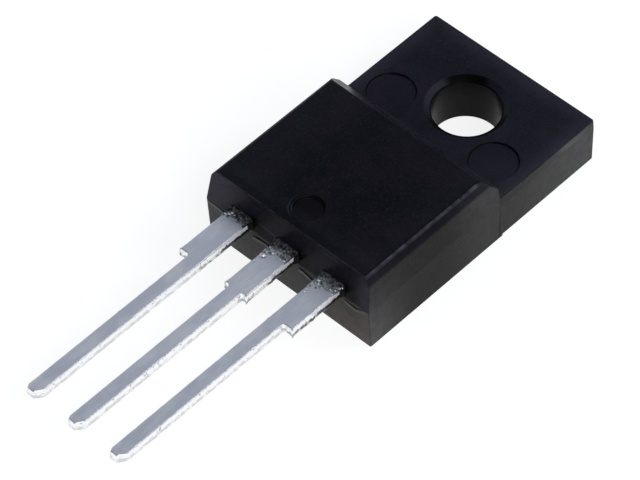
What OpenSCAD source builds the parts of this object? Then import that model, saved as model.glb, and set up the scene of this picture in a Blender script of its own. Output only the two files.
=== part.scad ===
// Power transistor in a fully moulded, flat-backed case with a screw tab and three leads.
// Lengths are in millimetres. The origin is on the screw hole's axis at the back face,
// +Y runs to the tab's end, the leads run to -Y and +Z points out of the top face.

/* [Moulded body] */
// Width of the body at the parting line
body_w = 9.95; // [9.4:0.05:10.6]
// Thickness from the back face to the top face
body_t = 4.4; // [4.2:0.05:4.8]
// Distance from the hole's axis to the front face at the parting line
front_y = 12; // [11.6:0.05:13]
// Height of the parting line, where the leads' undersides lie
parting_z = 2.5; // [2.3:0.05:2.7]
// Draft angle of the front face above the parting line
front_draft = 8; // [2:0.5:12]
// Draft angle of the front face below the parting line
foot_draft = 3.5; // [1:0.5:8]
// Draft angle of the sides above the parting line
side_draft = 5.5; // [1:0.5:8]
// Draft angle of the sides below the parting line
base_draft = 0.2; // [0.1:0.1:1.5]
// Width of the bevel along each long top edge
bevel_w = 0.27; // [0.1:0.01:0.4]
// Height of the bevel along each long top edge
bevel_h = 0.41; // [0.1:0.01:0.6]
// Radius of the body's upright corners
corner_r = 0.06; // [0.03:0.01:0.3]

/* [Screw tab] */
// Width of the tab
tab_w = 9.82; // [9.3:0.02:9.9]
// Thickness of the tab
tab_t = 2.58; // [2.4:0.02:2.8]
// Distance from the hole's axis to the tab's far end
tab_end = 3.32; // [2.9:0.02:4]
// Distance from the hole's axis to the foot of the step up to the body
step_y = 3.25; // [3.1:0.05:4]
// Height at which the step's upright wall turns into its slope
step_z = 3.45; // [3.1:0.02:3.8]
// Draft angle of the step's upright wall
step_draft = 5.5; // [1:0.5:8]
// Length of the step's slope along the body
slope_run = 0.87; // [0.4:0.02:1.4]
// Width of the steep bevel round the tab's top edge
tab_bevel_w = 0.03; // [0.02:0.01:0.15]
// Height of the steep bevel round the tab's top edge
tab_bevel_h = 0.5; // [0.1:0.05:0.8]
// Radius of the tab's upright corners
tab_corner_r = 0.12; // [0.05:0.01:0.6]

/* [Screw hole] */
// Diameter of the screw hole
hole_d = 3.3; // [2.8:0.05:3.6]
// Width of the bevelled rim round the hole's mouth
rim_w = 0.33; // [0.1:0.01:0.5]
// Depth of the bevelled rim
rim_h = 0.25; // [0.1:0.01:0.5]

/* [Mould marks] */
// Depth of the round marks that the mould's pins leave
mark_h = 0.12; // [0.04:0.01:0.2]
// Diameter of the two marks beside the screw hole
tab_mark_d = 2.4; // [1.5:0.05:2.6]
// Distance of those marks from the centre line
tab_mark_x = 3.15; // [3:0.05:3.4]
// Distance of those marks from the hole's axis towards the body
tab_mark_y = 1.68; // [1:0.02:1.8]
// Diameter of the mark on the body's top face
body_mark_d = 1.5; // [1:0.05:2.5]
// Distance of that mark's centre from the front face
body_mark_inset = 1.5; // [1.2:0.05:3]

/* [Leads] */
// Distance between neighbouring leads
pitch = 2.54; // [2.4:0.02:2.7]
// Thickness of the lead frame's leads
lead_t = 0.52; // [0.4:0.02:0.6]
// Width of a lead's blade
lead_w = 0.74; // [0.6:0.02:0.9]
// Length of a lead from the front face to its tip
lead_l = 13.25; // [8:0.1:15]
// Width of the shoulder next to the body
shoulder_w = 1.26; // [1:0.02:1.5]
// Length of the shoulder from the front face
shoulder_l = 3.2; // [2:0.1:5]
// Radius of the fillet under each shoulder
lead_fillet = 0.14; // [0.05:0.01:0.2]
// Width of the cropped corner on the tip's left side
tip_left_w = 0.1; // [0.05:0.01:0.25]
// Length of the cropped corner on the tip's left side
tip_left_l = 0.2; // [0.05:0.01:0.5]
// Width of the cropped corner on the tip's right side
tip_right_w = 0.28; // [0.05:0.01:0.4]
// Length of the cropped corner on the tip's right side
tip_right_l = 0.38; // [0.05:0.01:0.6]

/* [Lead frame inside the body] */
// Length of each outer lead's neck between the front face and its post
neck_l = 0.8; // [0.6:0.05:1]
// Width of the post that a bonding wire lands on
post_w = 2.1; // [1.8:0.05:2.4]
// Length of that post
post_l = 1.25; // [1:0.05:1.3]
// Radius of the notches that key each lead into the resin
key_r = 0.2; // [0.1:0.01:0.25]
// Length of the middle lead between the front face and its bend
bend_inset = 1.1; // [0.9:0.05:1.3]
// Angle at which the middle lead bends down to the pad
bend_angle = 45; // [40:1:60]
// Resin between the chip's pad and the back face
pad_z = 0.55; // [0.4:0.05:0.7]
// Thickness of the pad
pad_t = 1.2; // [0.8:0.05:1.3]
// Width of the pad
pad_w = 8; // [7:0.1:8.6]
// Radius of the pad's corners
pad_corner_r = 0.5; // [0.2:0.05:0.8]
// Distance that the pad's two ears reach past the hole's axis
ear_l = 0.6; // [0:0.1:1.5]
// Resin between the screw hole's wall and the pad
hole_cover = 0.95; // [0.7:0.05:1.1]

/* [Chip and bonding wires] */
// Width of the chip
die_w = 3.6; // [2:0.1:5]
// Length of the chip
die_l = 3; // [2.4:0.1:4]
// Thickness of the chip
die_t = 0.3; // [0.2:0.02:0.4]
// Distance from the hole's axis to the chip's centre
die_y = 6.6; // [6.2:0.1:7]
// Thickness of the solder under the chip
solder_t = 0.06; // [0.04:0.01:0.1]
// Solder that shows round the chip
solder_rim = 0.15; // [0.05:0.01:0.3]
// Diameter of the base's bonding wire
base_wire_d = 0.25; // [0.2:0.01:0.3]
// Diameter of the emitter's bonding wire
emitter_wire_d = 0.38; // [0.3:0.01:0.45]
// Distance of both wires' first bonds from the centre line
bond_x = 0.9; // [0.6:0.05:1.2]
// Distance of both wires' first bonds from the chip's centre towards the leads
bond_y = 0.3; // [0:0.05:0.6]
// Length of a wire's flattened bond
bond_l = 0.45; // [0.3:0.01:0.6]
// Mean angle at which a wire leaves its bonds
wire_rise = 32; // [26:1:36]

/* [Hidden] */
$fn = 48;
resin = [0.13, 0.13, 0.15];
tinned = [0.62, 0.64, 0.70];
silicon = [0.35, 0.38, 0.45];
solder = [0.55, 0.56, 0.58];
wire_metal = [0.82, 0.82, 0.84];

// How far a cutting shape runs past the face that it cuts
past = 1;
lead_top = parting_z + lead_t;
shoulder_step = shoulder_w - lead_w;
pad_top = pad_z + pad_t;
bend_drop = lead_top - pad_top;
bend_run = bend_drop / tan(bend_angle);
bend_mitre = lead_t * tan(bend_angle / 2);
bend_y = -front_y + bend_inset;
// The pad's near edge, where the middle lead's bend ends
pad_near = bend_y + bend_run + bend_mitre;
post_near = -front_y + neck_l;
die_bottom = pad_top + solder_t;
die_top = die_bottom + die_t;
// Height of a wire's axis over what it is bonded to, as a share of the wire's radius
bond_share = 0.55;
// Facets round a wire and round the full circle that its loop is part of
wire_facets = 24;
loop_facets = 192;

// Extrudes an outline drawn in the Y-Z plane along X, half to each side.
module along_x(width)
    translate([-width / 2, 0, 0])
        rotate([90, 0, 90])
            linear_extrude(width) children();

// Extrudes an outline drawn in the X-Z plane from y0 to y1.
module along_y(y0, y1)
    translate([0, y1, 0])
        rotate([90, 0, 0])
            linear_extrude(y1 - y0) children();

// A rectangle from near to far along Y with round corners: two crossed rectangles and four discs.
module plan(width, near, far, r) {
    length = far - near;
    translate([0, (near + far) / 2]) {
        square([width - 2 * r, length], center = true);
        square([width, length - 2 * r], center = true);
        for (sx = [-1, 1], sy = [-1, 1])
            translate([sx * (width / 2 - r), sy * (length / 2 - r)]) circle(r);
    }
}

// The body's cross-section: each side leans in both ways from the parting line.
module body_section() {
    half = body_w / 2;
    bevel_foot = body_t - bevel_h;
    base = half - parting_z * tan(base_draft);
    waist = half - (bevel_foot - parting_z) * tan(side_draft);
    polygon([[-base, 0], [base, 0], [half, parting_z], [waist, bevel_foot],
             [waist - bevel_w, body_t], [-waist + bevel_w, body_t],
             [-waist, bevel_foot], [-half, parting_z]]);
}

// The body's side view: drafted front face, flat top, slope and upright wall of the step.
module body_profile()
    polygon([[-front_y + parting_z * tan(foot_draft), 0], [-front_y, parting_z],
             [-front_y + (body_t - parting_z) * tan(front_draft), body_t],
             [step_wall(step_z) - slope_run, body_t], [step_wall(step_z), step_z],
             [step_wall(0), 0]]);

// Where the step's upright wall stands at height z.
function step_wall(z) = -step_y - (z - tab_t) * tan(step_draft);

// The thick part of the moulding.
module body_block()
    intersection() {
        along_x(body_w) body_profile();
        along_y(-front_y, step_wall(0)) body_section();
        linear_extrude(body_t) plan(body_w, -front_y, step_wall(0) + past, corner_r);
    }

// The thin part of the moulding, which the screw clamps.
module tab_block() {
    half = tab_w / 2;
    waist = tab_t - tab_bevel_h;
    root = -step_y - slope_run;
    intersection() {
        along_x(tab_w)
            polygon([[root, 0], [tab_end, 0], [tab_end, waist],
                     [tab_end - tab_bevel_w, tab_t], [root, tab_t]]);
        along_y(root, tab_end)
            polygon([[-half, 0], [half, 0], [half, waist], [half - tab_bevel_w, tab_t],
                     [-half + tab_bevel_w, tab_t], [-half, waist]]);
        linear_extrude(tab_t) plan(tab_w, root - past, tab_end, tab_corner_r);
    }
}

// The screw hole with its bevelled mouth, a cone that runs as far past the face as it goes in.
module screw_hole() {
    translate([0, 0, -past]) cylinder(h = tab_t + 2 * past, d = hole_d);
    translate([0, 0, tab_t - rim_h])
        cylinder(h = 2 * rim_h, d1 = hole_d, d2 = hole_d + 4 * rim_w);
}

// The shallow round dents left by the mould's pins.
module pin_marks() {
    for (side = [-1, 1])
        translate([side * tab_mark_x, -tab_mark_y, tab_t - mark_h])
            cylinder(h = past, d = tab_mark_d);
    translate([0, -front_y + body_mark_inset, body_t - mark_h])
        cylinder(h = past, d = body_mark_d);
}

// Black epoxy moulding, cast round the lead frame, chip and wires.
module mould_body()
    color(resin)
        difference() {
            union() {
                body_block();
                tab_block();
            }
            screw_hole();
            pin_marks();
            collector_frame();
            base_lead();
            emitter_lead();
            chip();
            chip_solder();
            base_wire();
            emitter_wire();
        }

// Plan of a lead from its tip to inner_y, with its shoulder stepped out to either side.
module lead_plan(left_step, right_step, inner_y) {
    half = lead_w / 2;
    tip = -front_y - lead_l;
    ledge = -front_y - shoulder_l;
    polygon([[-half, inner_y], [-half, tip + tip_left_l], [-half + tip_left_w, tip],
             [half - tip_right_w, tip], [half, tip + tip_right_l], [half, inner_y]]);
    translate([-half - left_step, ledge])
        square([left_step + lead_w + right_step, inner_y - ledge]);
    if (left_step > lead_fillet) translate([-half, ledge]) mirror([1, 0]) corner_fillet();
    if (right_step > lead_fillet) translate([half, ledge]) corner_fillet();
}

// The web left in the corner between a blade and the ledge above it.
module corner_fillet()
    difference() {
        translate([-lead_fillet, -lead_fillet]) square([2 * lead_fillet, 2 * lead_fillet]);
        translate([lead_fillet, -lead_fillet]) circle(lead_fillet);
    }

// A lead's stamped strip, lying on the parting line.
module lead_strip()
    translate([0, 0, parting_z]) linear_extrude(lead_t) children();

// An outer lead on its own centre line: blade, shoulder, notched neck and wide post.
module outer_lead(left_step, right_step)
    lead_strip()
        difference() {
            union() {
                lead_plan(left_step, right_step, post_near + post_l);
                translate([-post_w / 2, post_near]) square([post_w, post_l]);
            }
            for (x = [-lead_w / 2 - left_step, lead_w / 2 + right_step])
                translate([x, -front_y + neck_l / 2]) circle(key_r);
        }

// Left-hand lead, on which the base's wire lands.
module base_lead()
    color(tinned) translate([-pitch, 0, 0]) outer_lead(shoulder_step, 0);

// Right-hand lead, on which the emitter's wire lands.
module emitter_lead()
    color(tinned) translate([pitch, 0, 0]) outer_lead(0, shoulder_step);

// Middle lead, bent down to the pad that carries the chip, all stamped from one strip.
module collector_frame()
    color(tinned) {
        lead_strip() lead_plan(shoulder_step / 2, shoulder_step / 2, bend_y);
        along_x(shoulder_w)
            polygon([[bend_y - bend_mitre, parting_z], [bend_y, parting_z],
                     [bend_y + bend_run, parting_z - bend_drop],
                     [pad_near + pad_corner_r, parting_z - bend_drop],
                     [pad_near + pad_corner_r, pad_top], [pad_near, pad_top],
                     [bend_y + bend_mitre, lead_top], [bend_y - bend_mitre, lead_top]]);
        translate([0, 0, pad_z])
            linear_extrude(pad_t)
                difference() {
                    plan(pad_w, pad_near, ear_l, pad_corner_r);
                    hole_notch();
                }
    }

// The notch between the pad's ears: half an octagon round the screw hole, open at its far end.
module hole_notch() {
    reach = hole_d / 2 + hole_cover;
    corner = reach * tan(22.5);
    polygon([[-reach, ear_l + past], [-reach, -corner], [-corner, -reach],
             [corner, -reach], [reach, -corner], [reach, ear_l + past]]);
}

// Solder between the chip and the pad.
module chip_solder()
    color(solder)
        translate([0, -die_y, pad_top + solder_t / 2])
            cube([die_w + 2 * solder_rim, die_l + 2 * solder_rim, solder_t], center = true);

// Silicon chip.
module chip()
    color(silicon)
        translate([0, -die_y, die_bottom + die_t / 2])
            cube([die_w, die_l, die_t], center = true);

// A looped wire from a bond at start to one at finish, each where the wire lifts off its bond.
// Between them it is one round arc, whose radius and two end angles follow from the span.
module bonding_wire(start, finish, d) {
    along = finish - start;
    run = norm([along[0], along[1]]);
    skew = atan2(along[2], run);
    crown = run / (2 * sin(wire_rise) * cos(skew));
    rise = wire_rise + skew;
    fall = wire_rise - skew;
    top_x = crown * sin(rise);
    heel = d / 4;
    translate(start)
        rotate([0, 0, atan2(along[1], along[0])])
            difference() {
                translate([0, 0, bond_share * d / 2]) {
                    wire_bond(d, -bond_l, heel);
                    translate([run, 0, along[2]]) wire_bond(d, -heel, bond_l);
                    translate([top_x, 0, -crown * cos(rise)])
                        rotate([90, fall - 90, 0])
                            rotate_extrude(angle = rise + fall, $fn = loop_facets)
                                translate([crown, 0]) circle(d = d, $fn = wire_facets);
                }
                translate([-past, -d, -past]) cube([past + top_x, 2 * d, past]);
                translate([top_x, -d, along[2] - past])
                    cube([run - top_x + past, 2 * d, past]);
            }
}

// The straight stretch of wire that is pressed on to a chip or a post.
module wire_bond(d, from, to)
    translate([from, 0, 0]) rotate([0, 90, 0]) cylinder(h = to - from, d = d, $fn = wire_facets);

// Where a wire leaves the chip and where it lands on its post, on the side given by -1 or 1.
function chip_bond(side) = [side * bond_x, -die_y - bond_y, die_top];
function post_bond(side) = [side * pitch, post_near + post_l / 2 + bond_l / 2, lead_top];

// Aluminium wire from the chip to the base's post.
module base_wire()
    color(wire_metal) bonding_wire(chip_bond(-1), post_bond(-1), base_wire_d);

// Thicker aluminium wire from the chip to the emitter's post.
module emitter_wire()
    color(wire_metal) bonding_wire(chip_bond(1), post_bond(1), emitter_wire_d);

mould_body();
collector_frame();
base_lead();
emitter_lead();
chip();
chip_solder();
base_wire();
emitter_wire();
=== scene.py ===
import math
import bmesh
import bpy
from mathutils import Matrix, Vector, noise


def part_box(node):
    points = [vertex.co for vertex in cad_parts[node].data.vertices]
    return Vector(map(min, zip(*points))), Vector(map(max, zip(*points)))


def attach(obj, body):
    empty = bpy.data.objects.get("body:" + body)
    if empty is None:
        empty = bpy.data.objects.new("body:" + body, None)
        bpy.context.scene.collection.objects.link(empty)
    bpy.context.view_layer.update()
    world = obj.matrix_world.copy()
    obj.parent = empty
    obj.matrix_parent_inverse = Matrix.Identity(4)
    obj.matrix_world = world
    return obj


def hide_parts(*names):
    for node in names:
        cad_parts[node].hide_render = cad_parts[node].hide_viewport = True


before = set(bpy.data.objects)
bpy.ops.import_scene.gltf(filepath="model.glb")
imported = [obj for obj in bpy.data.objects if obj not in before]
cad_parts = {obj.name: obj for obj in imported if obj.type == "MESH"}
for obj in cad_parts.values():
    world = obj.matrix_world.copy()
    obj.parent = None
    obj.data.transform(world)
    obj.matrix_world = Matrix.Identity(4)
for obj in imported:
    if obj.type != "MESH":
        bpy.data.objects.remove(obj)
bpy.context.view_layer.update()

# Base lead, the left one. It is stamped from copper strip and then tinned, so its top edges are
# rolled over by the die, its sides are sheared rough and small burrs stand out at its shoulder.
# Its inner end with the post is held by the moulding.
mm = 0.001
weld = 0.001 * mm
flat_within = 0.01 * mm
face_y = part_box("mould_body")[0].y
face_at = face_y / mm
parting_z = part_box("base_lead")[0].z
lead_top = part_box("base_lead")[1].z
root_y = face_y + 0.15 * mm
overlap = 0.04 * mm
shoulder_at = -15.2
edge_spacing = 0.09 * mm
die_roll_w = 0.06 * mm
die_roll_h = 0.08 * mm
die_roll_steps = 4
underside_chamfer = 0.025 * mm
wall_rings = 6
edge_wander = 0.008 * mm
wall_tear = 0.009 * mm
underside_ragged = 0.03 * mm
nib_spread = 0.004


class Value:
    """A number, vector or colour that varies over a surface. Arithmetic on numbers adds the shader
    nodes for it."""

    def __init__(self, socket):
        self.socket = socket
        self.tree = socket.id_data

    def __add__(self, other):
        return arithmetic(self.tree, "ADD", self, other)

    def __sub__(self, other):
        return arithmetic(self.tree, "SUBTRACT", self, other)

    def __rsub__(self, other):
        return arithmetic(self.tree, "SUBTRACT", other, self)

    def __mul__(self, other):
        return arithmetic(self.tree, "MULTIPLY", self, other)

    def __abs__(self):
        return arithmetic(self.tree, "ABSOLUTE", self)


def feed(node, inputs):
    """Links each Value to its socket of the node, and sets plain numbers and colours on theirs."""
    for socket, value in inputs.items():
        if isinstance(value, Value):
            value.tree.links.new(value.socket, node.inputs[socket])
        else:
            node.inputs[socket].default_value = value


def add(tree, kind, inputs, **options):
    """Adds a shader node."""
    node = tree.nodes.new(kind)
    for option, value in options.items():
        setattr(node, option, value)
    feed(node, inputs)
    return node


def value_of(tree, kind, inputs, output=0, **options):
    """Adds a shader node and gives what it puts out."""
    return Value(add(tree, kind, inputs, **options).outputs[output])


def arithmetic(tree, operation, first, second=0.0):
    """One step of arithmetic."""
    return value_of(tree, "ShaderNodeMath", {0: first, 1: second}, operation=operation)


def largest(first, *others):
    """The largest of some numbers."""
    for other in others:
        first = arithmetic(first.tree, "MAXIMUM", first, other)
    return first


def ramp(value, start, end, low=0.0, high=1.0):
    """Runs from low to high as value runs from start to end."""
    return value_of(value.tree, "ShaderNodeMapRange",
                    {"Value": value, "From Min": start, "From Max": end, "To Min": low, "To Max": high},
                    interpolation_type="SMOOTHSTEP")


def mixed(share, a, b):
    """Colour a where share is 0 and colour b where it is 1."""
    return value_of(share.tree, "ShaderNodeMix", {0: share, 6: a, 7: b}, output=2, data_type="RGBA")


def between(share, a, b):
    """Number a where share is 0 and number b where it is 1."""
    return value_of(share.tree, "ShaderNodeMix", {0: share, 2: a, 3: b})


def parts_of(vector):
    """The X, Y and Z of a vector."""
    return [Value(part) for part in add(vector.tree, "ShaderNodeSeparateXYZ", {0: vector}).outputs]


def grain(place, per_mm, stretch=(1, 1, 1), detail=3.0):
    """Noise with per_mm waves a millimetre, from about 0.25 to 0.75."""
    stretched = value_of(place.tree, "ShaderNodeVectorMath", {0: place, 1: stretch}, operation="MULTIPLY")
    return value_of(place.tree, "ShaderNodeTexNoise",
                    {"Vector": stretched, "Scale": per_mm, "Detail": detail, "Roughness": 0.6})


def bumped(height, depth_mm, below=None):
    """A normal raised by height times depth_mm, on top of another bump if one is given."""
    inputs = {"Height": height, "Distance": depth_mm * mm, "Strength": 1.0}
    if below is not None:
        inputs["Normal"] = below
    return value_of(height.tree, "ShaderNodeBump", inputs)


def surface(name):
    """A new material with its shader, the place on the object in millimetres and the way it faces."""
    material = bpy.data.materials.new(name)
    material.use_nodes = True
    tree = material.node_tree
    coordinates = add(tree, "ShaderNodeTexCoord", {}).outputs
    place = value_of(tree, "ShaderNodeVectorMath", {0: Value(coordinates["Object"]), "Scale": 1 / mm},
                     operation="SCALE")
    return material, tree.nodes["Principled BSDF"], place, Value(coordinates["Normal"])


def tin_plate():
    """Satin tin over copper. The flat faces are calm and faintly cloudy, the sheared walls are
    burnished bright at the top, frosted near the moulding, and torn and duller below. On the wide
    part and near the moulding the lower walls are painted near black, as shade."""
    clear_tin = (0.765, 0.785, 0.84, 1)
    cloudy_tin = (0.67, 0.69, 0.755, 1)
    streak_tin = (0.62, 0.65, 0.72, 1)
    burnished = (0.93, 0.93, 0.93, 1)
    scored = (0.42, 0.42, 0.44, 1)
    torn_copper = (0.66, 0.66, 0.68, 1)
    torn_shade_black = (0.075, 0.075, 0.08, 1)
    edge_grey = (0.30, 0.31, 0.34, 1)
    material, shader, place, facing = surface("satin_tin_plate")
    _, y, z = parts_of(place)
    upright = abs(parts_of(facing)[2])
    wall = ramp(upright, 0.55, 0.25)
    edge = ramp(upright, 0.985, 0.9) * ramp(upright, 0.35, 0.6)
    cloud = grain(place, 1.1, (1, 0.6, 1))
    streak = grain(place, 6.0, (1, 0.2, 1))
    pits = grain(place, 10.0)
    torn = grain(place, 6.0, (1, 1, 0.6))

    flat_tin = mixed(ramp(cloud, 0.35, 0.65), cloudy_tin, clear_tin)
    flat_tin = mixed(ramp(streak, 0.30, 0.55, 0.5, 1.0), streak_tin, flat_tin)
    low = ramp(z + torn * 0.45, lead_top / mm - 0.03, lead_top / mm - 0.09)
    # Torn patches at random; near the moulding the whole lower wall, where the dark is painted shade.
    torn_and_shaded = largest(ramp(grain(place, 2.4), 0.42, 0.56, 0.25, 1.0), ramp(y, face_at - 2.0, face_at - 1.5))
    low_torn_and_shaded = low * torn_and_shaded
    # On the wide part the torn wall is painted near black as shade; beyond the shoulder it is dull tin.
    torn_and_shaded_wall = mixed(ramp(y, shoulder_at - 0.5, shoulder_at + 0.5), torn_copper, torn_shade_black)
    sheared = mixed(low_torn_and_shaded, mixed(ramp(torn, 0.34, 0.39), scored, burnished), torn_and_shaded_wall)
    colour = mixed(wall, flat_tin, sheared)
    colour = mixed(edge * ramp(torn, 0.42, 0.56, 0.15, 0.7), colour, edge_grey)
    frosted = wall * ramp(y, face_at - 2.4, face_at - 1.2, 0.0, 0.85) * (1 - low_torn_and_shaded)
    pitted = bumped(ramp(pits, 0.30, 0.42), 0.0012, bumped(streak, 0.0007))
    feed(shader, {"Base Color": colour, "Metallic": 1 - frosted,
                  "Roughness": between(wall, ramp(cloud, 0.3, 0.7, 0.36, 0.44), 0.30),
                  "Normal": bumped(torn * wall, 0.014, pitted)})
    return material


tin = tin_plate()


def welded(node):
    """A bmesh of a CAD node, welded along its seams."""
    shell = bmesh.new()
    shell.from_mesh(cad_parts[node].data)
    bmesh.ops.remove_doubles(shell, verts=shell.verts, dist=weld)
    return shell


def keep_below(corners, limit_y):
    """Clips a closed outline to y up to limit_y."""
    kept = []
    for here, there in zip(corners, corners[1:] + corners[:1]):
        if here.y <= limit_y:
            kept.append(here)
        if (here.y <= limit_y) != (there.y <= limit_y):
            kept.append(here.lerp(there, (limit_y - here.y) / (there.y - here.y)))
    return kept


def stamped_outline(node):
    """Outline of a lead's flat top from its tip to just inside the moulding, anticlockwise, with
    evenly spaced points. It is walked round a copy of the CAD lead's top face."""
    shell = welded(node)
    neighbours = {}
    for edge in shell.edges:
        on_top = [f for f in edge.link_faces if min(v.co.z for v in f.verts) > lead_top - flat_within]
        if len(on_top) == 1:
            for vertex in edge.verts:
                neighbours.setdefault(vertex, []).append(edge.other_vert(vertex))
    start = next(iter(neighbours))
    walk = [start, neighbours[start][0]]
    while walk[-1] is not start:
        before, after = neighbours[walk[-1]]
        walk.append(after if before is walk[-2] else before)
    corners = [v.co.xy for v in walk[:-1]]
    shell.free()
    if sum(a.cross(b) for a, b in zip(corners, corners[1:] + corners[:1])) < 0:
        corners.reverse()
    corners = keep_below(corners, root_y)
    points = []
    for here, there in zip(corners, corners[1:] + corners[:1]):
        count = max(1, round((there - here).length / edge_spacing))
        points += [here.lerp(there, k / count) for k in range(count)]
    return points


def outward(points):
    """The outward direction at each point of a closed anticlockwise outline."""
    directions = []
    for before, here, after in zip(points[-1:] + points[:-1], points, points[1:] + points[:1]):
        first = (here - before).normalized()
        second = (after - here).normalized()
        bisector = Vector((first.y + second.y, -first.x - second.x))
        directions.append(bisector / max(0.5, 1 + first.dot(second)))
    return directions


def wobble(x, y, z, per_mm):
    """Smooth noise from about -1 to 1 with per_mm waves a millimetre."""
    return noise.noise(Vector((x, y, z)) * (per_mm / mm))


def object_of(name, shell):
    """Turns a bmesh into an object."""
    mesh = bpy.data.meshes.new(name)
    shell.to_mesh(mesh)
    shell.free()
    piece = bpy.data.objects.new(name, mesh)
    bpy.context.scene.collection.objects.link(piece)
    return piece


def finished(name, shell, material):
    """Turns a bmesh into a smooth object with that material."""
    for face in shell.faces:
        face.smooth = True
    piece = object_of(name, shell)
    piece.data.materials.append(material)
    return piece


def loft(name, rings, material):
    """A closed solid through rings with equal counts of points, with a flat cap on each end."""
    shell = bmesh.new()
    rows = [[shell.verts.new(point) for point in ring] for ring in rings]
    for lower, upper in zip(rows, rows[1:]):
        for k in range(len(lower)):
            after = (k + 1) % len(lower)
            shell.faces.new((lower[k], lower[after], upper[after], upper[k]))
    shell.faces.new(reversed(rows[0]))
    shell.faces.new(rows[-1])
    return finished(name, shell, material)


def free_of_mould(y):
    """0 at the moulding's face, where a lead stays exactly as the CAD has it, and 1 further out."""
    return min(1.0, max(0.0, (face_y - 0.05 * mm - y) / (0.2 * mm)))


def stamped_blade(name, node, burrs):
    """The part of a lead that shows. burrs lists (x, y, size) in millimetres for each stray nib,
    whose flanks fall off with the squared distance over nib_spread, in square millimetres."""
    points = stamped_outline(node)
    sides = outward(points)
    shift = []
    for point in points:
        sway = 0.6 * wobble(point.x, point.y, 0, 2.3) + 0.5 * wobble(point.x, point.y, 0, 7.0)
        nib = sum(size * math.exp(-((point.x / mm - x) ** 2 + (point.y / mm - y) ** 2) / nib_spread)
                  for x, y, size in burrs)
        shift.append(free_of_mould(point.y) * (edge_wander * sway + nib * mm))

    def ring(inset, z, tear, sag):
        made = []
        for point, side, moved in zip(points, sides, shift):
            free = free_of_mould(point.y)
            rough = free * tear * wobble(point.x, point.y, z, 8.0)
            low = free * sag * (0.5 + wobble(point.x, point.y, 3 * mm, 4.5))
            spot = point + side * (moved + rough - inset)
            made.append((spot.x, spot.y, z - low))
        return made

    rings = [ring(underside_chamfer, parting_z, wall_tear, 0.5 * underside_ragged),
             ring(0, parting_z + underside_chamfer, 1.6 * wall_tear, underside_ragged)]
    wall_bottom = parting_z + 2.5 * underside_chamfer
    wall_top = lead_top - die_roll_h
    for k in range(wall_rings):
        rings.append(ring(0, wall_bottom + (wall_top - wall_bottom) * k / (wall_rings - 1), wall_tear, 0))
    for k in range(1, die_roll_steps + 1):
        turn = math.pi / 2 * k / die_roll_steps
        rings.append(ring(die_roll_w * (1 - math.cos(turn)), wall_top + die_roll_h * math.sin(turn),
                          wall_tear * (1 - k / die_roll_steps), 0))
    return loft(name, rings, tin)


def combine(piece, other, operation):
    """Unites piece with another solid or cuts the other out of it, and removes the other."""
    step = piece.modifiers.new("combine", "BOOLEAN")
    step.object = other
    step.operation = operation
    step.solver = "EXACT"
    bpy.context.view_layer.update()
    result = bpy.data.meshes.new_from_object(piece.evaluated_get(bpy.context.evaluated_depsgraph_get()))
    piece.modifiers.remove(step)
    piece.data = result
    bpy.data.objects.remove(other)


def even_normals(piece):
    """Keeps large flats flat beside their small rounded edges."""
    step = piece.modifiers.new("even_normals", "WEIGHTED_NORMAL")
    step.weight = 90


def inner_end(name, node):
    """What the moulding hides of a CAD lead, cut off just inside the blade's end and closed there."""
    shell = welded(node)
    bmesh.ops.bisect_plane(shell, geom=shell.verts[:] + shell.edges[:] + shell.faces[:],
                           plane_co=(0, root_y - overlap, 0), plane_no=(0, -1, 0), clear_outer=True)
    rim = [edge for edge in shell.edges if edge.is_boundary]
    bmesh.ops.holes_fill(shell, edges=rim)
    return object_of(name, shell)


def lead(name, node, burrs):
    """A whole lead: its stamped blade joined to the CAD lead's inner end."""
    blade = stamped_blade(name, node, burrs)
    combine(blade, inner_end(name + "_inner", node), "UNION")
    even_normals(blade)
    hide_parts(node)
    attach(blade, "root")


lead("stamped_base_lead", "base_lead",
     [(-2.17, -14.95, 0.03), (-3.43, -15.20, 0.03), (-2.91, -19.6, 0.02)])

# Collector lead, the middle one, stamped and tinned in the same strip as the others. It is one
# piece with the pad that carries the chip: inside the moulding it bends down to that pad.
lead("stamped_collector_lead", "collector_frame",
     [(0.63, -15.20, 0.06), (-0.63, -15.20, 0.04), (0.63, -13.6, 0.03), (0.37, -18.2, 0.02)])

# Emitter lead, the right one, stamped and tinned as the base lead is and turned the other way.
# The moulding holds its inner end, whose post takes the thicker wire from the chip.
lead("stamped_emitter_lead", "emitter_lead",
     [(3.43, -15.20, 0.06), (3.43, -13.9, 0.03), (2.17, -15.45, 0.03), (2.91, -20.4, 0.02)])


# Solder under the chip: a thin dull film of soft solder. It was melted between the chip and the
# pad, fixes the one to the other and leads the chip's heat away.
def dull_solder():
    """Grey solder with the soft dimples of a film that froze slowly."""
    dull_grey = (0.42, 0.42, 0.44, 1)
    pale_grey = (0.58, 0.58, 0.60, 1)
    material, shader, place, _ = surface("dull_solder")
    dimples = grain(place, 2.5)
    feed(shader, {"Base Color": mixed(ramp(dimples, 0.35, 0.65), dull_grey, pale_grey), "Metallic": 1.0,
                  "Roughness": ramp(dimples, 0.3, 0.7, 0.45, 0.62), "Normal": bumped(dimples, 0.01)})
    return material


def finish_node(name, material):
    """Gives a CAD node that stays its material."""
    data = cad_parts[name].data
    data.materials.clear()
    data.materials.append(material)


finish_node("chip_solder", dull_solder())


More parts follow.
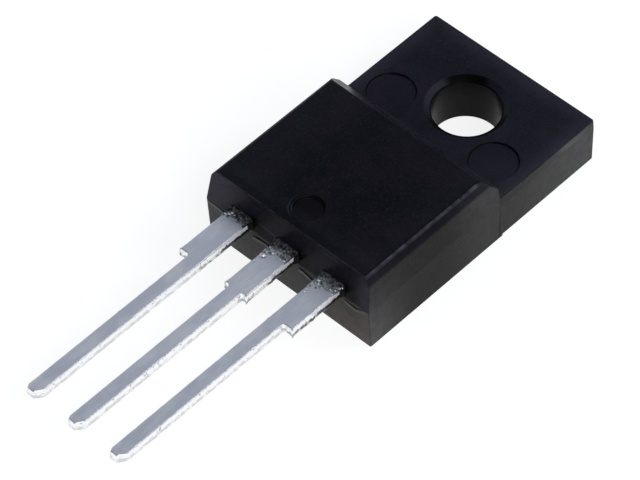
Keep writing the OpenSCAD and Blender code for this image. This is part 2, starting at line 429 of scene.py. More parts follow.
# Chip: a square sawn from a slice of silicon, with a metal film on top where the wires are bonded.
# It is soldered to the pad by its back.
def silicon():
    """Dark polished silicon with a finely grained metal film on its top."""
    sawn_silicon = (0.10, 0.105, 0.12, 1)
    dark_film = (0.50, 0.51, 0.54, 1)
    pale_film = (0.66, 0.66, 0.68, 1)
    material, shader, place, facing = surface("metal_coated_silicon")
    top = ramp(parts_of(facing)[2], 0.5, 0.9)
    film = grain(place, 14.0)
    metal = mixed(ramp(film, 0.35, 0.65), dark_film, pale_film)
    feed(shader, {"Base Color": mixed(top, sawn_silicon, metal), "Metallic": 1.0,
                  "Roughness": ramp(film, 0.3, 0.7, 0.20, 0.34), "Normal": bumped(film, 0.002)})
    return material


finish_node("chip", silicon())


# Bonding wires of drawn aluminium. Each is pressed on to the chip, loops over and is pressed on
# to its lead's post: a thin one for the base and a thicker one for the emitter.
def drawn_aluminium():
    """Bright aluminium with fine drawing lines."""
    line_grey = (0.72, 0.72, 0.73, 1)
    bright = (0.86, 0.86, 0.87, 1)
    material, shader, place, _ = surface("drawn_aluminium")
    lines = grain(place, 16.0, (1, 0.15, 0.4))
    feed(shader, {"Base Color": mixed(ramp(lines, 0.35, 0.65), line_grey, bright), "Metallic": 1.0,
                  "Roughness": ramp(lines, 0.3, 0.7, 0.25, 0.40), "Normal": bumped(lines, 0.002)})
    return material


wire_metal = drawn_aluminium()
finish_node("base_wire", wire_metal)
finish_node("emitter_wire", wire_metal)

# Moulding, one shot of black epoxy pressed round the lead frame, chip and wires. Its walls lean
# both ways from the parting line so that it leaves the mould, and the long top edges are bevelled.
# A step leads down to the thinner screw tab.
body_low, body_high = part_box("mould_body")
half_w = body_high.x
body_t = body_high.z
parting_at = parting_z / mm
front = -body_low.y
foot_draft = math.radians(3.5)
front_draft = math.radians(8)
base_draft = math.radians(0.2)
side_draft = math.radians(5.5)
bevel_w = 0.27 * mm
bevel_h = 0.41 * mm
bevel_foot_r = 0.40 * mm
bevel_top_r = 0.26 * mm
waist = half_w - (body_t - bevel_h - parting_z) * math.tan(side_draft)
tab_half = 4.91 * mm
tab_t = 2.58 * mm
tab_end = body_high.y
tab_bevel_w = 0.03 * mm
tab_bevel_h = 0.5 * mm
step_y = -3.25 * mm
step_at = step_y / mm
step_z = 3.45 * mm
step_draft = math.radians(5.5)
slope_run = 0.87 * mm
edge_r = 0.045 * mm
base_edge_r = 0.02 * mm
front_corner_r = 0.06 * mm
step_corner_r = 0.05 * mm
tab_corner_r = 0.12 * mm
hidden_corner_r = 0.02 * mm
corner_steps = 6
root_x = 2.80 * mm
hole_r = 1.65 * mm
rim_w = 0.33 * mm
tab_mark = Vector((3.15, -1.68)) * mm
tab_mark_r = 1.2 * mm
body_mark = Vector((0, -10.5)) * mm
body_mark_r = 0.75 * mm

# Where the flash runs along the front wall, as (x, z) in millimetres. The mould's halves don't
# close quite on the parting plane between the leads, so it sags there.
flash_run = [(-4.95, 2.43), (-4.4, 2.42), (-3.5, 2.36), (-2.2, 2.10), (-1.8, 2.20), (-1.4, 2.25),
             (-1.0, 2.24), (-0.6, 2.14), (0.6, 2.14), (1.0, 2.21), (1.5, 2.06), (2.1, 1.86),
             (3.45, 2.30), (4.2, 2.24), (4.7, 2.46), (4.95, 2.48)]


def band(value, low, high, soft):
    """1 where value lies between low and high, running off to 0 over soft on each side."""
    return ramp(value, low - soft, low) * ramp(value, high + soft, high)


def distance(place, point):
    """How far place is from a fixed point."""
    return value_of(place.tree, "ShaderNodeVectorMath", {0: place, 1: point}, output="Value",
                    operation="DISTANCE")


def along(vector, way):
    """How far vector runs in a fixed direction."""
    return value_of(vector.tree, "ShaderNodeVectorMath", {0: vector, 1: way}, output="Value",
                    operation="DOT_PRODUCT")


def lightened(dark, colour, amount):
    """Adds that amount of a colour to a darker one."""
    more = value_of(amount.tree, "ShaderNodeVectorMath", {0: colour, "Scale": amount}, operation="SCALE")
    return value_of(amount.tree, "ShaderNodeVectorMath", {0: dark, 1: more}, operation="ADD")


def flash_height(x):
    """The flash's height over the back face, in millimetres, for the shader's x. It is read off a
    colour ramp, which has two stops to start with."""
    span = 5.0
    share = value_of(x.tree, "ShaderNodeMapRange", {"Value": x, "From Min": -span, "From Max": span})
    node = add(x.tree, "ShaderNodeValToRGB", {0: share})
    stops = node.color_ramp.elements
    for k, (run_x, run_z) in enumerate(flash_run):
        stop = stops[k] if k < 2 else stops.new(0.5)
        stop.position = (run_x + span) / (2 * span)
        stop.color = (run_z / span, run_z / span, run_z / span, 1)
    return parts_of(Value(node.outputs["Color"]))[0] * span


class MouldedPoint:
    """A point of the moulding's surface: its place in millimetres, how it faces and what is near."""

    def __init__(self, place, facing):
        tree = place.tree
        self.x, self.y, self.z = parts_of(place)
        self.side_x, self.side_y, side_z = parts_of(facing)
        self.upright = abs(side_z)
        self.wall = ramp(self.upright, 0.64, 0.58)
        self.front_wall = ramp(self.side_y, -0.5, -0.8)
        self.on_tab = ramp(self.y, step_at - 0.9, step_at + 0.1)
        self.above_flash = self.z - flash_height(self.x)
        self.cloud = grain(place, 0.45, detail=2.0)
        self.mottle = grain(place, 1.9)
        self.sand = grain(place, 11.0)
        self.flat = value_of(tree, "ShaderNodeCombineXYZ", {0: self.x, 1: self.y})
        self.on_front = value_of(tree, "ShaderNodeCombineXYZ", {0: self.x, 1: self.z})
        self.from_hole = distance(self.flat, (0, 0, 0))
        self.from_body_mark = distance(self.flat, (*body_mark / mm, 0))
        folded = value_of(tree, "ShaderNodeCombineXYZ", {0: abs(self.x), 1: self.y})
        from_tab_mark = distance(folded, (*tab_mark / mm, 0))
        self.clear_of_marks = (ramp(self.from_body_mark, body_mark_r / mm + 0.03, body_mark_r / mm + 0.09)
                               * ramp(from_tab_mark, tab_mark_r / mm + 0.03, tab_mark_r / mm + 0.09))


def wall_grey_painted_light(spot):
    """How grey the walls are, mostly as painted reflection and shade: lighter towards the ends, the base
    and the tab's far end, darker on leaning faces, in the step's crease and on the front above the
    flash, with a painted highlight just under the flash."""
    # Painted light: lighter near the front end and towards the base, and at the far end below the parting.
    near_end = ramp(spot.y, face_at + 3.4, face_at - 0.4) * ramp(spot.z, body_t / mm - 0.2, 0.0, 0.016, 0.085)
    far_end = ramp(spot.y, step_at - 4.15, step_at - 0.55)
    far_end = far_end * ramp(spot.z, parting_at + 0.1, parting_at - 0.1, 0.034, 0.026)
    body_grey_painted_light = ramp(spot.z, parting_at + 0.1, parting_at - 0.1, 0.013, 0.005) + (near_end + far_end)
    tab_grey_painted_light = ramp(spot.y, step_at + 0.05, tab_end / mm - 0.52, 0.025, 0.066)
    side_grey_painted_light = between(ramp(spot.y, step_at - 0.05, step_at + 0.05), body_grey_painted_light, tab_grey_painted_light)
    # Painted shade on faces that lean away from straight sideways.
    leaning = ramp(abs(spot.side_x), 0.86, 0.96, 0.40, 1.0)
    # Painted shade in the step's crease.
    crease = band(spot.y, step_at - 0.04, step_at + 0.06, 0.07)
    side_grey_painted_light = side_grey_painted_light * leaning * ramp(crease, 0.0, 1.0, 1.0, 0.35)
    side_wall = ramp(abs(spot.side_x), 0.5, 0.8)
    # Painted reflection: the front is lighter towards both ends.
    left_end = ramp(spot.x, -2.2, -4.8, 0.007, 0.050)
    right_end = ramp(spot.x, 3.9, 4.9, 0.0, 0.024)
    below = ramp(spot.above_flash, 0.03, -0.03) * ramp(spot.z, parting_at - 0.1, 0.0, 0.014, 0.056)
    # A painted highlight along the wall just under the flash.
    lip_highlight = band(spot.above_flash, -0.045, -0.015, 0.015)
    front_grey_painted_light = (left_end + right_end + below) * ramp(lip_highlight, 0.0, 1.0, 1.0, 1.45)
    back_wall = ramp(spot.side_y, 0.80, 0.95)
    return side_wall * side_grey_painted_light + (spot.front_wall * front_grey_painted_light + back_wall * 0.03)


def shade_by_roots(spot):
    """Painted shade on the upper front wall: a dark patch right of each lead's root and a dark line
    where the wall meets the flash."""
    right_of_root = 0.92
    height = 2.85
    outer_r = 0.72
    inner_r = 0.26
    root_shade = band(spot.above_flash, 0.010, 0.045, 0.012)
    for middle in (-root_x, 0.0, root_x):
        away = distance(spot.on_front, (middle / mm + right_of_root, height, 0))
        root_shade = largest(root_shade, ramp(away, outer_r, inner_r))
    return spot.front_wall * root_shade * ramp(spot.above_flash, -0.03, 0.03, 0.0, 0.9)


def rim_shades(spot):
    """Painted highlights at the left and right of the hole's mouth, and painted shade at its far side,
    its near side and round its throat.
    """
    mouth = (hole_r + rim_w) / mm
    throat = hole_r / mm
    direction = value_of(spot.flat.tree, "ShaderNodeVectorMath", {0: spot.flat}, operation="NORMALIZE")
    rim = ramp(spot.from_hole, mouth + 0.02, mouth - 0.03) * ramp(spot.wall, 1.0, 0.0)
    left = ramp(along(direction, (-0.99, -0.10, 0)), 0.60, 1.0)
    right = ramp(along(direction, (0.80, 0.60, 0)), 0.75, 1.0, 0.0, 0.6)
    far_patch = ramp(along(direction, (-0.66, 0.75, 0)), 0.79, 0.93)
    near_side = ramp(along(direction, (0.70, -0.71, 0)), 0.1, 0.5)
    throat_edge = ramp(spot.from_hole, throat + 0.09, throat + 0.03)
    return rim * largest(left, right), rim * largest(far_patch, near_side, throat_edge)


def body_mark_shades(spot):
    """Round the body's pin mark: two pale arcs at its left, the painted shade in it and a black crescent
    of painted shade under its far wall."""
    radius = body_mark_r / mm
    near = spot.from_body_mark
    from_centre = value_of(near.tree, "ShaderNodeVectorMath", {0: spot.flat, 1: (*body_mark / mm, 0)},
                           operation="SUBTRACT")
    arcs = largest(band(near, radius + 0.01, radius + 0.04, 0.015),
                   band(near, radius + 0.16, radius + 0.19, 0.015))
    arcs = arcs * ramp(along(from_centre, (-0.80, -0.60, 0)), 0.66, 0.80)
    arcs = arcs * ramp(spot.mottle, 0.40, 0.52, 0.3, 1.0)
    shade = ramp(near, radius - 0.03, radius - 0.15, 0.0, 0.30)
    far_side = ramp(along(from_centre, (-0.6, 0.8, 0)), -0.10, 0.35)
    return arcs, shade, band(near, radius - 0.08, radius + 0.03, 0.03) * far_side


def painted_edge_highlights(spot):
    """How pale the edges round the body's top face and the right bevel's edges are painted, as highlights."""
    rounded = ramp(spot.upright, 0.995, 0.95) * ramp(spot.upright, 0.72, 0.85) * spot.clear_of_marks
    right_bevel = ramp(spot.upright, 0.97, 0.90) * ramp(spot.upright, 0.58, 0.74)
    right_bevel = right_bevel * ramp(spot.y, face_at + 1.0, face_at + 6.0, 0.35, 0.75)
    pale_edges = largest(rounded, right_bevel * ramp(spot.side_x, 0.2, 0.4))
    return pale_edges * ramp(spot.y, step_at - 1.0, step_at - 1.3) * ramp(spot.mottle, 0.35, 0.65, 0.015, 0.06)


def top_skin(spot, painted_rim_highlight, arcs, dark):
    """The matt skin of the top: blue-black on the body and purpler on the tab, paler along its edges,
    dusted and pitted by the filler, with a thin dark line beside the right bevel. It is lightened by
    painted highlights at the hole's mouth, and deep black where dark gives painted shade."""
    blue_black = (0.0044, 0.0052, 0.0088, 1)
    cloudy_black = (0.0078, 0.0070, 0.0112, 1)
    purple_black = (0.0108, 0.0108, 0.0180, 1)
    cloudy_purple = (0.0160, 0.0146, 0.0260, 1)
    pale_tint = (1.0, 0.98, 1.28)
    silica_dust = (0.026, 0.026, 0.034, 1)
    pit_black = (0.0014, 0.0014, 0.0022, 1)
    deep_black = (0.0004, 0.0004, 0.0004, 1)
    clouds = ramp(spot.cloud, 0.36, 0.64)
    skin = mixed(spot.on_tab, mixed(clouds, blue_black, cloudy_black),
                 mixed(clouds, purple_black, cloudy_purple))
    sides = ramp(abs(spot.x - 0.5), 1.4, 4.8, 0.0, 0.0044)
    near_ridge = ramp(abs(spot.y - (face_at + 1.0)), 0.45, 0.1, 0.0, 0.0030)
    body_rise = sides + (near_ridge + ramp(spot.y, step_at - 5.25, step_at - 1.55, 0.0, 0.0016))
    tab_edge = largest(ramp(spot.y, 2.3, 3.3), ramp(abs(spot.x), 3.9, 4.9))
    tab_rise = tab_edge * 0.015 + ramp(spot.x, -1.0, 4.0, 0.0, 0.003)
    step_slope = band(spot.upright, 0.64, 0.72, 0.03)
    # The hole's mouth gets painted highlights here.
    rise = between(spot.on_tab, body_rise, tab_rise) + painted_rim_highlight * 0.014 + step_slope * 0.0035 + arcs * 0.017
    skin = lightened(skin, pale_tint, rise)
    skin = mixed(ramp(spot.sand, 0.54, 0.72, 0.0, 0.55), skin, silica_dust)
    skin = mixed(ramp(spot.sand, 0.44, 0.32, 0.0, 0.55), skin, pit_black)
    bevel_at = (waist - bevel_w) / mm
    line = band(spot.x, bevel_at - 0.13, bevel_at - 0.07, 0.03) * ramp(spot.on_tab, 0.3, 0.0, 0.0, 0.6)
    return mixed(largest(dark, line), skin, deep_black)


def black_epoxy():
    """Silica-filled black epoxy. The top skin is finely matt. The walls are smoother and greyish, mostly
    from painted reflections and shade, purplish above the flash and on the bevels, and browner at the
    front's lower right."""
    wall_black = (0.0014, 0.0014, 0.0017, 1)
    wall_purple = (0.0028, 0.0022, 0.0056, 1)
    shade_black = (0.0002, 0.0002, 0.0002, 1)
    grey_tint = (1.0, 1.0, 0.99, 1)
    purple_tint = (1.0, 0.95, 1.2, 1)
    olive_tint = (1.02, 1.0, 0.93, 1)
    brown_tint = (1.42, 1.16, 1.01, 1)
    material, shader, place, facing = surface("black_epoxy")
    spot = MouldedPoint(place, facing)
    painted_rim_highlight, painted_rim_shade = rim_shades(spot)
    arcs, shade, crescent = body_mark_shades(spot)
    root_shade = shade_by_roots(spot)
    upper_front = spot.front_wall * ramp(spot.above_flash, -0.03, 0.03)
    lower_front = spot.front_wall * ramp(spot.above_flash, 0.03, -0.03)
    bevel = ramp(abs(spot.side_x), 0.96, 0.88) * ramp(spot.z, 3.7, 3.9)
    purple = largest(upper_front, bevel)

    top = top_skin(spot, painted_rim_highlight, arcs, largest(painted_rim_shade, shade, crescent))
    wall = mixed(purple, wall_black, wall_purple)
    # Painted shade turns the wall black in the mark's crescent and by the roots.
    wall = mixed(largest(crescent, root_shade), wall, shade_black)
    olive_to_brown = mixed(ramp(spot.x, 0.5, 4.0), olive_tint, brown_tint)
    tint = mixed(purple, mixed(lower_front, grey_tint, olive_to_brown), purple_tint)
    in_hole = spot.wall * ramp(spot.z, 2.4, 0.8, 0.004, 0.018)
    outside = ramp(spot.from_hole, hole_r / mm + 0.35, hole_r / mm + 0.45)
    grey_with_painted_light = between(outside, in_hole, wall_grey_painted_light(spot) * spot.clear_of_marks * (1 - root_shade))
    # Painted highlights along the edges are added.
    grey_with_painted_light = grey_with_painted_light * ramp(spot.mottle, 0.3, 0.7, 0.85, 1.15) + painted_edge_highlights(spot)
    matt = ramp(spot.mottle, 0.3, 0.7, 0.40, 0.50)
    smooth = ramp(spot.mottle, 0.3, 0.7, 0.24, 0.32)
    feed(shader, {"Base Color": lightened(mixed(spot.wall, top, wall), tint, grey_with_painted_light), "IOR": 1.12,
                  "Roughness": between(ramp(spot.upright, 0.80, 0.70), matt, smooth),
                  "Normal": bumped(spot.sand, 0.003, bumped(spot.mottle, 0.003))})
    return material


resin = black_epoxy()


def eased(corners, radii, steps=4):
    """An open run of corners with each inner one rounded off by a small curve."""
    run = [corners[0]]
    for before, here, after, radius in zip(corners, corners[1:], corners[2:], radii):
        into = (before - here).normalized()
        out = (after - here).normalized()
        half_turn = into.angle(out) / 2
        trim = min(radius / math.tan(half_turn), 0.45 * (before - here).length, 0.45 * (after - here).length)
        start = here + into * trim
        end = here + out * trim
        for k in range(steps + 1):
            share = k / steps
            run.append((1 - share) ** 2 * start + 2 * share * (1 - share) * here + share ** 2 * end)
    run.append(corners[-1])
    return run


def wall_profile(corners, higher_r=None):
    """How far a wall stands out against height, as (distance, z), with eased corners. The base and
    the top run inwards from its ends, which rounds its lowest and highest corner too. higher_r
    gives the curves of the corners above the lowest where they aren't edge_r."""
    inwards = Vector((-mm, 0))
    run = [corners[0] + inwards] + corners + [corners[-1] + inwards]
    radii = [base_edge_r] + (higher_r or [edge_r] * (len(corners) - 1))
    return eased([Vector(corner) for corner in run], radii)[1:-1]


def stand_out(profile, z):
    """A wall's distance at height z."""
    for below, above in zip(profile, profile[1:]):
        if below.y <= z <= above.y and above.y > below.y:
            return below.x + (above.x - below.x) * (z - below.y) / (above.y - below.y)
    return profile[-1].x


def block(name, side, near, far, near_r, far_r):
    """A drafted block: at each height a rectangle with round corners as wide as its profiles say."""
    heights = sorted({round(p.y, 9) for profile in (side, near, far) for p in profile})
    rings = []
    for z in heights:
        half = stand_out(side, z)
        near_end = (-1, -stand_out(near, z), near_r)
        far_end = (1, stand_out(far, z), far_r)
        corners = [(1, -math.pi / 2, near_end), (1, 0, far_end), (-1, math.pi / 2, far_end),
                   (-1, math.pi, near_end)]
        ring = []
        for sign_x, first, (sign_y, end, radius) in corners:
            centre_x = sign_x * (half - radius)
            centre_y = end - sign_y * radius
            for k in range(corner_steps + 1):
                turn = first + math.pi / 2 * k / corner_steps
                ring.append((centre_x + radius * math.cos(turn), centre_y + radius * math.sin(turn), z))
        rings.append(ring)
    return loft(name, rings, resin)


def step_wall(z):
    """Where the step's wall stands, along Y."""
    return step_y - (z - tab_t) * math.tan(step_draft)


body_side = wall_profile([Vector((half_w - parting_z * math.tan(base_draft), 0)),
                          Vector((half_w, parting_z)), Vector((waist, body_t - bevel_h)),
                          Vector((waist - bevel_w, body_t))], [edge_r, bevel_foot_r, bevel_top_r])
body_front = wall_profile([Vector((front - parting_z * math.tan(foot_draft), 0)), Vector((front, parting_z)),
                           Vector((front - (body_t - parting_z) * math.tan(front_draft), body_t))])
body_step = wall_profile([Vector((step_wall(0), 0)), Vector((step_wall(step_z), step_z)),
                          Vector((step_wall(step_z) - slope_run, body_t))])
moulding = block("epoxy_moulding", body_side, body_front, body_step, front_corner_r, step_corner_r)

inside_body = -step_y + 0.5 * mm
tab_side = wall_profile([Vector((tab_half, 0)), Vector((tab_half, tab_t - tab_bevel_h)),
                         Vector((tab_half - tab_bevel_w, tab_t))])
tab_hidden = [Vector((inside_body, 0)), Vector((inside_body, tab_t))]
tab_rear = wall_profile([Vector((tab_end, 0)), Vector((tab_end, tab_t - tab_bevel_h)),
                         Vector((tab_end - tab_bevel_w, tab_t))])
tab = block("screw_tab", tab_side, tab_hidden, tab_rear, hidden_corner_r, tab_corner_r)
combine(moulding, tab, "UNION")

# Screw hole, pin marks and cavities, all left in the same moulding. The hole is shaped by the
# mould's core, the three shallow round marks by its ejector pins, and the cavities by what the
# resin flowed round.
rim_h = 0.25 * mm
mark_depth = 0.12 * mm
mark_slant = 0.07 * mm
mark_edge_r = 0.035 * mm
clear = 0.5 * mm
round_steps = 96


def turned(name, profile, centre):
    """A solid turned about an upright axis at centre, from a profile of (radius, z) that starts and
    ends on that axis."""
    shell = bmesh.new()
    pole_low = shell.verts.new((centre.x, centre.y, profile[0].y))
    pole_high = shell.verts.new((centre.x, centre.y, profile[-1].y))
    rows = []
    for point in profile[1:-1]:
        row = []
        for k in range(round_steps):
            turn = 2 * math.pi * k / round_steps
            row.append(shell.verts.new((centre.x + point.x * math.cos(turn),
                                        centre.y + point.x * math.sin(turn), point.y)))
        rows.append(row)
    for k in range(round_steps):
        after = (k + 1) % round_steps
        shell.faces.new((pole_low, rows[0][after], rows[0][k]))
        for lower, upper in zip(rows, rows[1:]):
            shell.faces.new((lower[k], lower[after], upper[after], upper[k]))
        shell.faces.new((rows[-1][k], rows[-1][after], pole_high))
    return finished(name, shell, resin)


outwards = Vector((mm, 0))
bore = [Vector((hole_r, 0)), Vector((hole_r, tab_t - rim_h)), Vector((hole_r + rim_w, tab_t))]
bore = eased([bore[0] + outwards] + bore + [bore[-1] + outwards], [edge_r] * 3)[1:-1]
bore = ([Vector((0, -clear)), Vector((bore[0].x, -clear))] + bore
        + [Vector((bore[-1].x, tab_t + clear)), Vector((0, tab_t + clear))])
combine(moulding, turned("screw_hole", bore, Vector((0, 0))), "DIFFERENCE")

for mark_r, top, centre in [(tab_mark_r, tab_t, Vector((-tab_mark.x, tab_mark.y))),
                            (tab_mark_r, tab_t, tab_mark),
                            (body_mark_r, body_t, body_mark)]:
    floor = Vector((0, top - mark_depth))
    foot = Vector((mark_r - mark_slant, top - mark_depth))
    mouth = Vector((mark_r, top))
    dent = eased([floor, foot, mouth, mouth + outwards], [mark_edge_r] * 2)[:-1]
    dent += [Vector((dent[-1].x, top + clear)), Vector((0, top + clear))]
    combine(moulding, turned("pin_mark", dent, centre), "DIFFERENCE")

for inner in ["collector_frame", "base_lead", "emitter_lead", "chip", "chip_solder", "base_wire",
              "emitter_wire"]:
    combine(moulding, object_of("cavity", welded(inner)), "DIFFERENCE")

even_normals(moulding)
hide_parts("mould_body")
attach(moulding, "root")

# Bled resin, from the same shot of epoxy as the moulding. As the mould closed on the leads, a
# little resin crept out along each of them and froze there as a thin ragged crust.
bleed_start = face_y + 0.10 * mm
bleed_end = face_y - 1.75 * mm
bleed_rows = 54
bleed_points = 96
bleed_corner = 0.07 * mm
corner_points = 9
wide_half = 0.63 * mm
crust_t = 0.035 * mm
crust_heel = 0.10 * mm
heel_run = 0.07 * mm
crust_sink = 0.04 * mm
crust_lumps = 0.022 * mm
crust_grit = 0.012 * mm
reach_sway = 0.10 * mm
reach_fray = 0.08 * mm
right_reach = 0.26 * mm
under_reach = 0.50 * mm


def bled_resin():
    """Grey crust, nearly black at the moulding and thin at its end, where the tin shines through. Its
    right-facing flanks are painted near black as shade.
    """
    sooty = (0.004, 0.004, 0.005, 1)
    ash = (0.075, 0.078, 0.088, 1)
    thin_grey = (0.10, 0.11, 0.13, 1)
    thin_pale = (0.62, 0.64, 0.69, 1)
    flank_shade_black = (0.0015, 0.0015, 0.002, 1)
    bare_tin = (0.90, 0.90, 0.91, 1)
    material, shader, place, facing = surface("bled_resin")
    x, y, _ = parts_of(place)
    # Painted shade on the flanks that face right.
    right_flank_shade = ramp(parts_of(facing)[0], 0.35, 0.75, 0.0, 0.95)
    patches = grain(place, 2.6, (1, 0.7, 1))
    specks = grain(place, 8.0)
    ragged = y + patches + ramp(x, 1.0, 2.0, 0.0, -0.16)
    thin = ramp(ragged, face_at + 0.34, face_at - 0.20)
    thick_colour = mixed(ramp(specks, 0.35, 0.62), sooty, ash)
    thin_colour = mixed(ramp(specks, 0.35, 0.60), thin_grey, thin_pale)
    colour = mixed(right_flank_shade, mixed(thin, thick_colour, thin_colour), flank_shade_black)
    fleck = ramp(specks + thin * 0.04, 0.68, 0.71)
    feed(shader, {"Base Color": mixed(fleck, colour, bare_tin), "IOR": 1.12,
                  "Metallic": largest(fleck, thin * (0.9 - right_flank_shade * 0.8)),
                  "Roughness": ramp(specks, 0.3, 0.7, 0.50, 0.32),
                  "Normal": bumped(specks, 0.012, bumped(patches, 0.02))})
    return material


crust = bled_resin()


def round_lead(x_middle):
    """Evenly spaced points with their outward directions round a lead's section, anticlockwise."""
    right = x_middle + wide_half - bleed_corner
    left = x_middle - wide_half + bleed_corner
    high = lead_top - bleed_corner
    low = parting_z + bleed_corner
    walk = []
    corners = [(right, low, -90), (right, high, 0), (left, high, 90), (left, low, 180)]
    for centre_x, centre_z, first in corners:
        for k in range(corner_points):
            turn = math.radians(first + 90 * k / (corner_points - 1))
            walk.append(Vector((centre_x + bleed_corner * math.cos(turn),
                                centre_z + bleed_corner * math.sin(turn))))
    lengths = [(there - here).length for here, there in zip(walk, walk[1:] + walk[:1])]
    girth = sum(lengths)
    spots = []
    for k in range(bleed_points):
        left_over = girth * k / bleed_points
        index = 0
        while left_over > lengths[index]:
            left_over -= lengths[index]
            index += 1
        spots.append(walk[index].lerp(walk[(index + 1) % len(walk)], left_over / lengths[index]))
    directions = []
    for before, after in zip(spots[-1:] + spots[:-1], spots[1:] + spots[:1]):
        tangent = (after - before).normalized()
        directions.append(Vector((tangent.y, -tangent.x)))
    return spots, directions


def bleed(name, x_middle, reaches, seed):
    """A crust round one lead's root. It runs out along the top as far from the face as reaches says
    in millimetres, at the left, in the middle and at the right, less on the other sides, and sinks
    below the tin at its ragged end."""
    spots, directions = round_lead(x_middle)
    rings = []
    for row in range(bleed_rows + 1):
        y = bleed_start + (bleed_end - bleed_start) * row / bleed_rows
        out = max(0.0, face_y - y)
        ring = []
        for spot, side in zip(spots, directions):
            seeded_x = spot.x + seed * mm
            across = min(1.0, max(0.0, (spot.x - x_middle + wide_half) / (2 * wide_half))) * 2
            first = min(1, int(across))
            reach = (reaches[first] + (reaches[first + 1] - reaches[first]) * (across - first)) * mm
            if side.y < 0.3:
                reach = min(reach, right_reach if side.x > 0.3 else under_reach)
            reach += reach_sway * wobble(seeded_x, spot.y, 0, 2.6)
            reach += reach_fray * wobble(seeded_x, spot.y, 5 * mm, 7.0)
            fade = min(1.0, max(0.0, (out - 0.55 * reach) / (0.45 * reach)))
            lift = crust_t * (1 - fade) + crust_heel * math.exp(-out / heel_run)
            lift += crust_lumps * (1 - fade) * wobble(seeded_x, y, spot.y, 5.0)
            lift += crust_grit * wobble(seeded_x, y, spot.y, 13.0)
            lift -= crust_sink * fade
            place = spot + side * lift
            ring.append((place.x, y, place.y))
        rings.append(ring)
    piece = loft(name, rings, crust)
    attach(piece, "root")


bleed("bled_resin_base", -root_x, (0.92, 0.575, 0.644), 1.0)
bleed("bled_resin_collector", 0.0, (1.495, 0.759, 1.035), 2.0)
bleed("bled_resin_emitter", root_x, (1.5525, 0.805, 0.759), 3.0)

# Tin grains: lumps of the leads' own plating. They were chipped off when the strip was trimmed and
# stick in the crusts round the roots.
grain_lift = 0.035
grain_bulge = 0.35
grain_sag = 0.35


def tin_grains(name, spots):
    """The lumps in one lead's crust. spots lists (x, y, radius) in millimetres."""
    shell = bmesh.new()
    for x, y, radius in spots:
        centre = Vector((x, y, lead_top / mm + grain_lift + 0.4 * radius)) * mm
        lump = bmesh.ops.create_icosphere(shell, subdivisions=3, radius=radius * mm)["verts"]
        for vertex in lump:
            uneven = wobble(x * mm + vertex.co.x, y * mm + vertex.co.y, vertex.co.z, 0.6 / radius)
            vertex.co = centre + vertex.co * (1 + grain_bulge * uneven)
            vertex.co.z -= grain_sag * (vertex.co.z - centre.z)
    piece = finished(name, shell, tin)
    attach(piece, "root")


tin_grains("tin_grains_base", [(-3.19, -12.34, 0.070), (-3.33, -12.42, 0.050), (-3.12, -12.20, 0.055),
                               (-2.95, -12.23, 0.045), (-2.70, -12.40, 0.040)])
tin_grains("tin_grains_collector", [(-0.40, -13.06, 0.130), (-0.50, -13.50, 0.070), (-0.17, -12.67, 0.065),
                                    (-0.48, -12.50, 0.055), (0.52, -12.66, 0.070), (0.10, -12.55, 0.040)])
tin_grains("tin_grains_emitter", [(2.37, -12.40, 0.075), (2.50, -12.55, 0.045), (3.14, -12.45, 0.055),
                                  (3.33, -12.35, 0.055), (3.36, -12.60, 0.070), (2.36, -13.30, 0.060)])

# Flash, again the moulding's own epoxy. It was squeezed out between the mould's halves and stands
# along the front wall as thin ragged ledges between and beside the leads.
flash_h = 0.35 * mm
flash_step = 0.04 * mm
flash_jut = 0.022 * mm
least_jut = 0.004 * mm
end_steps = 4
nose_h = 0.030 * mm
nose_w = 0.012 * mm
rooted_y = face_y + 0.13 * mm


def flash_at(x):
    """The flash's height at x, both in metres."""
    for (start_x, start_z), (end_x, end_z) in zip(flash_run, flash_run[1:]):
        if start_x <= x / mm <= end_x:
            return (start_z + (end_z - start_z) * (x / mm - start_x) / (end_x - start_x)) * mm


def flash_lip(name, x_start, x_end, seed):
    """A ledge of flash, flat on top, with a ragged free edge. It runs down into the lower wall."""
    rings = []
    count = round((x_end - x_start) / flash_step)
    for k in range(count + 1):
        x = x_start + (x_end - x_start) * k / count
        run_z = flash_at(x)
        ragged = 0.012 * wobble(x + seed * mm, 0, 0, 2.0) + 0.008 * wobble(x, seed * mm, 0, 8.0)
        ends = min(1.0, k / end_steps, (count - k) / end_steps)
        jut = max(least_jut, flash_jut + ragged * mm) * ends
        top = run_z + 0.012 * mm * wobble(x, 2 * seed * mm, 0, 3.0)
        edge = -front - jut
        foot = run_z - flash_h
        foot_y = -front + (parting_z - foot) * math.tan(foot_draft) + nose_w
        rings.append([(x, rooted_y, foot), (x, foot_y, foot), (x, edge, top - nose_h),
                      (x, edge + nose_w, top), (x, rooted_y, top)])
    piece = loft(name, rings, resin)
    piece.data.shade_flat()
    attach(piece, "root")


flash_lip("flash_left", -4.93 * mm, -3.50 * mm, 1.0)
flash_lip("flash_middle_left", -2.10 * mm, -0.70 * mm, 2.0)
flash_lip("flash_middle_right", 0.70 * mm, 2.10 * mm, 3.0)
flash_lip("flash_right", 3.50 * mm, 4.93 * mm, 4.0)

# Studio: a pale paper floor that curves up all round, under a plain soft sky that is dimmer at the
# front left. A soft lamp at the right lights the side walls, and a smaller one behind it the edges.
paper_r = 0.9
paper_h = 0.5
paper_curve = 0.3
curve_steps = 12
paper_sides = 64
sky_blue = (0.42, 0.45, 0.50, 1)
sky_dim = (0.13, 0.13, 0.14, 1)
dim_side = Vector((-0.45, -0.62, 0.64)).normalized()


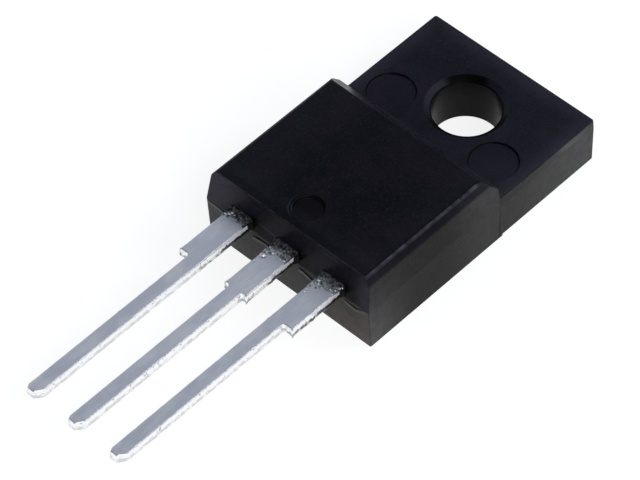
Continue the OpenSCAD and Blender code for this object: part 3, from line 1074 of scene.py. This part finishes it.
def studio_paper():
    """Pale paper that shows near white to the camera and in reflections, and keeps a soft shadow."""
    material = bpy.data.materials.new("studio_paper")
    material.use_nodes = True
    tree = material.node_tree
    tree.nodes.remove(tree.nodes["Principled BSDF"])
    rays = add(tree, "ShaderNodeLightPath", {}).outputs
    seen = largest(*[Value(rays[ray]) for ray in ("Is Camera Ray", "Is Glossy Ray", "Is Transmission Ray")])
    paper = value_of(tree, "ShaderNodeBsdfDiffuse", {"Color": (0.8, 0.8, 0.8, 1)})
    shaded = value_of(tree, "ShaderNodeBsdfDiffuse", {"Color": (0.3, 0.3, 0.3, 1)})
    glow = value_of(tree, "ShaderNodeEmission", {"Color": (1, 1, 1, 1), "Strength": 0.84})
    white = value_of(tree, "ShaderNodeAddShader", {0: shaded, 1: glow})
    both = value_of(tree, "ShaderNodeMixShader", {0: seen, 1: paper, 2: white})
    feed(tree.nodes["Material Output"], {"Surface": both})
    return material


sweep = bmesh.new()
profile = [(paper_r - paper_curve, 0.0)]
for k in range(1, curve_steps + 1):
    turn = math.pi / 2 * k / curve_steps
    profile.append((paper_r - paper_curve + paper_curve * math.sin(turn), paper_curve * (1 - math.cos(turn))))
profile.append((paper_r, paper_h))
rows = []
for radius, z in profile:
    turns = [2 * math.pi * k / paper_sides for k in range(paper_sides)]
    rows.append([sweep.verts.new((radius * math.cos(turn), radius * math.sin(turn), z)) for turn in turns])
sweep.faces.new(rows[0])
for lower, upper in zip(rows, rows[1:]):
    for k in range(paper_sides):
        after = (k + 1) % paper_sides
        sweep.faces.new((lower[k], upper[k], upper[after], lower[after]))
finished("paper_sweep", sweep, studio_paper())

sky = bpy.data.worlds.new("plain_sky")
sky.use_nodes = True
ray = Value(add(sky.node_tree, "ShaderNodeTexCoord", {}).outputs["Generated"])
dimmed = ramp(along(ray, dim_side), 0.60, 0.90)
feed(sky.node_tree.nodes["Background"], {"Color": mixed(dimmed, sky_blue, sky_dim)})
bpy.context.scene.world = sky


def soft_lamp(name, direction, away, size, watts):
    """A square lamp that faces the object."""
    data = bpy.data.lights.new(name, "AREA")
    data.energy = watts
    data.size = size
    lamp = bpy.data.objects.new(name, data)
    lamp.location = Vector(direction).normalized() * away
    lamp.rotation_euler = (-lamp.location).to_track_quat("-Z", "Y").to_euler()
    bpy.context.scene.collection.objects.link(lamp)


soft_lamp("key_lamp", (0.75, -0.35, 0.62), 0.55, 0.30, 0.9)
soft_lamp("edge_lamp", (0.50, 0.52, 0.70), 0.55, 0.16, 0.5)

# Camera: a long lens that looks down on the front right corner, at the photograph's angle and with
# its slight roll.
azimuth = math.radians(44.1008)
elevation = math.radians(49.9813)
roll = math.radians(-1.1126)
aim = Vector((0.2207, -10.0541, 2.0)) * mm
reach = 175.5913 * mm
sensor_w = 36
focal_length = 220.8067
back = Vector((math.sin(azimuth) * math.cos(elevation), -math.cos(azimuth) * math.cos(elevation),
               math.sin(elevation)))
level = Vector((math.cos(azimuth), math.sin(azimuth), 0))
right = math.cos(roll) * level + math.sin(roll) * back.cross(level)
up = back.cross(right)
lens = bpy.data.cameras.new("camera")
lens.sensor_width = sensor_w
lens.lens = focal_length
lens.clip_start = 0.01
camera = bpy.data.objects.new("camera", lens)
camera.matrix_world = Matrix((right, up, back)).transposed().to_4x4()
camera.location = aim + back * reach
bpy.context.scene.collection.objects.link(camera)
bpy.context.scene.camera = camera
bpy.context.scene.view_settings.view_transform = "Standard"
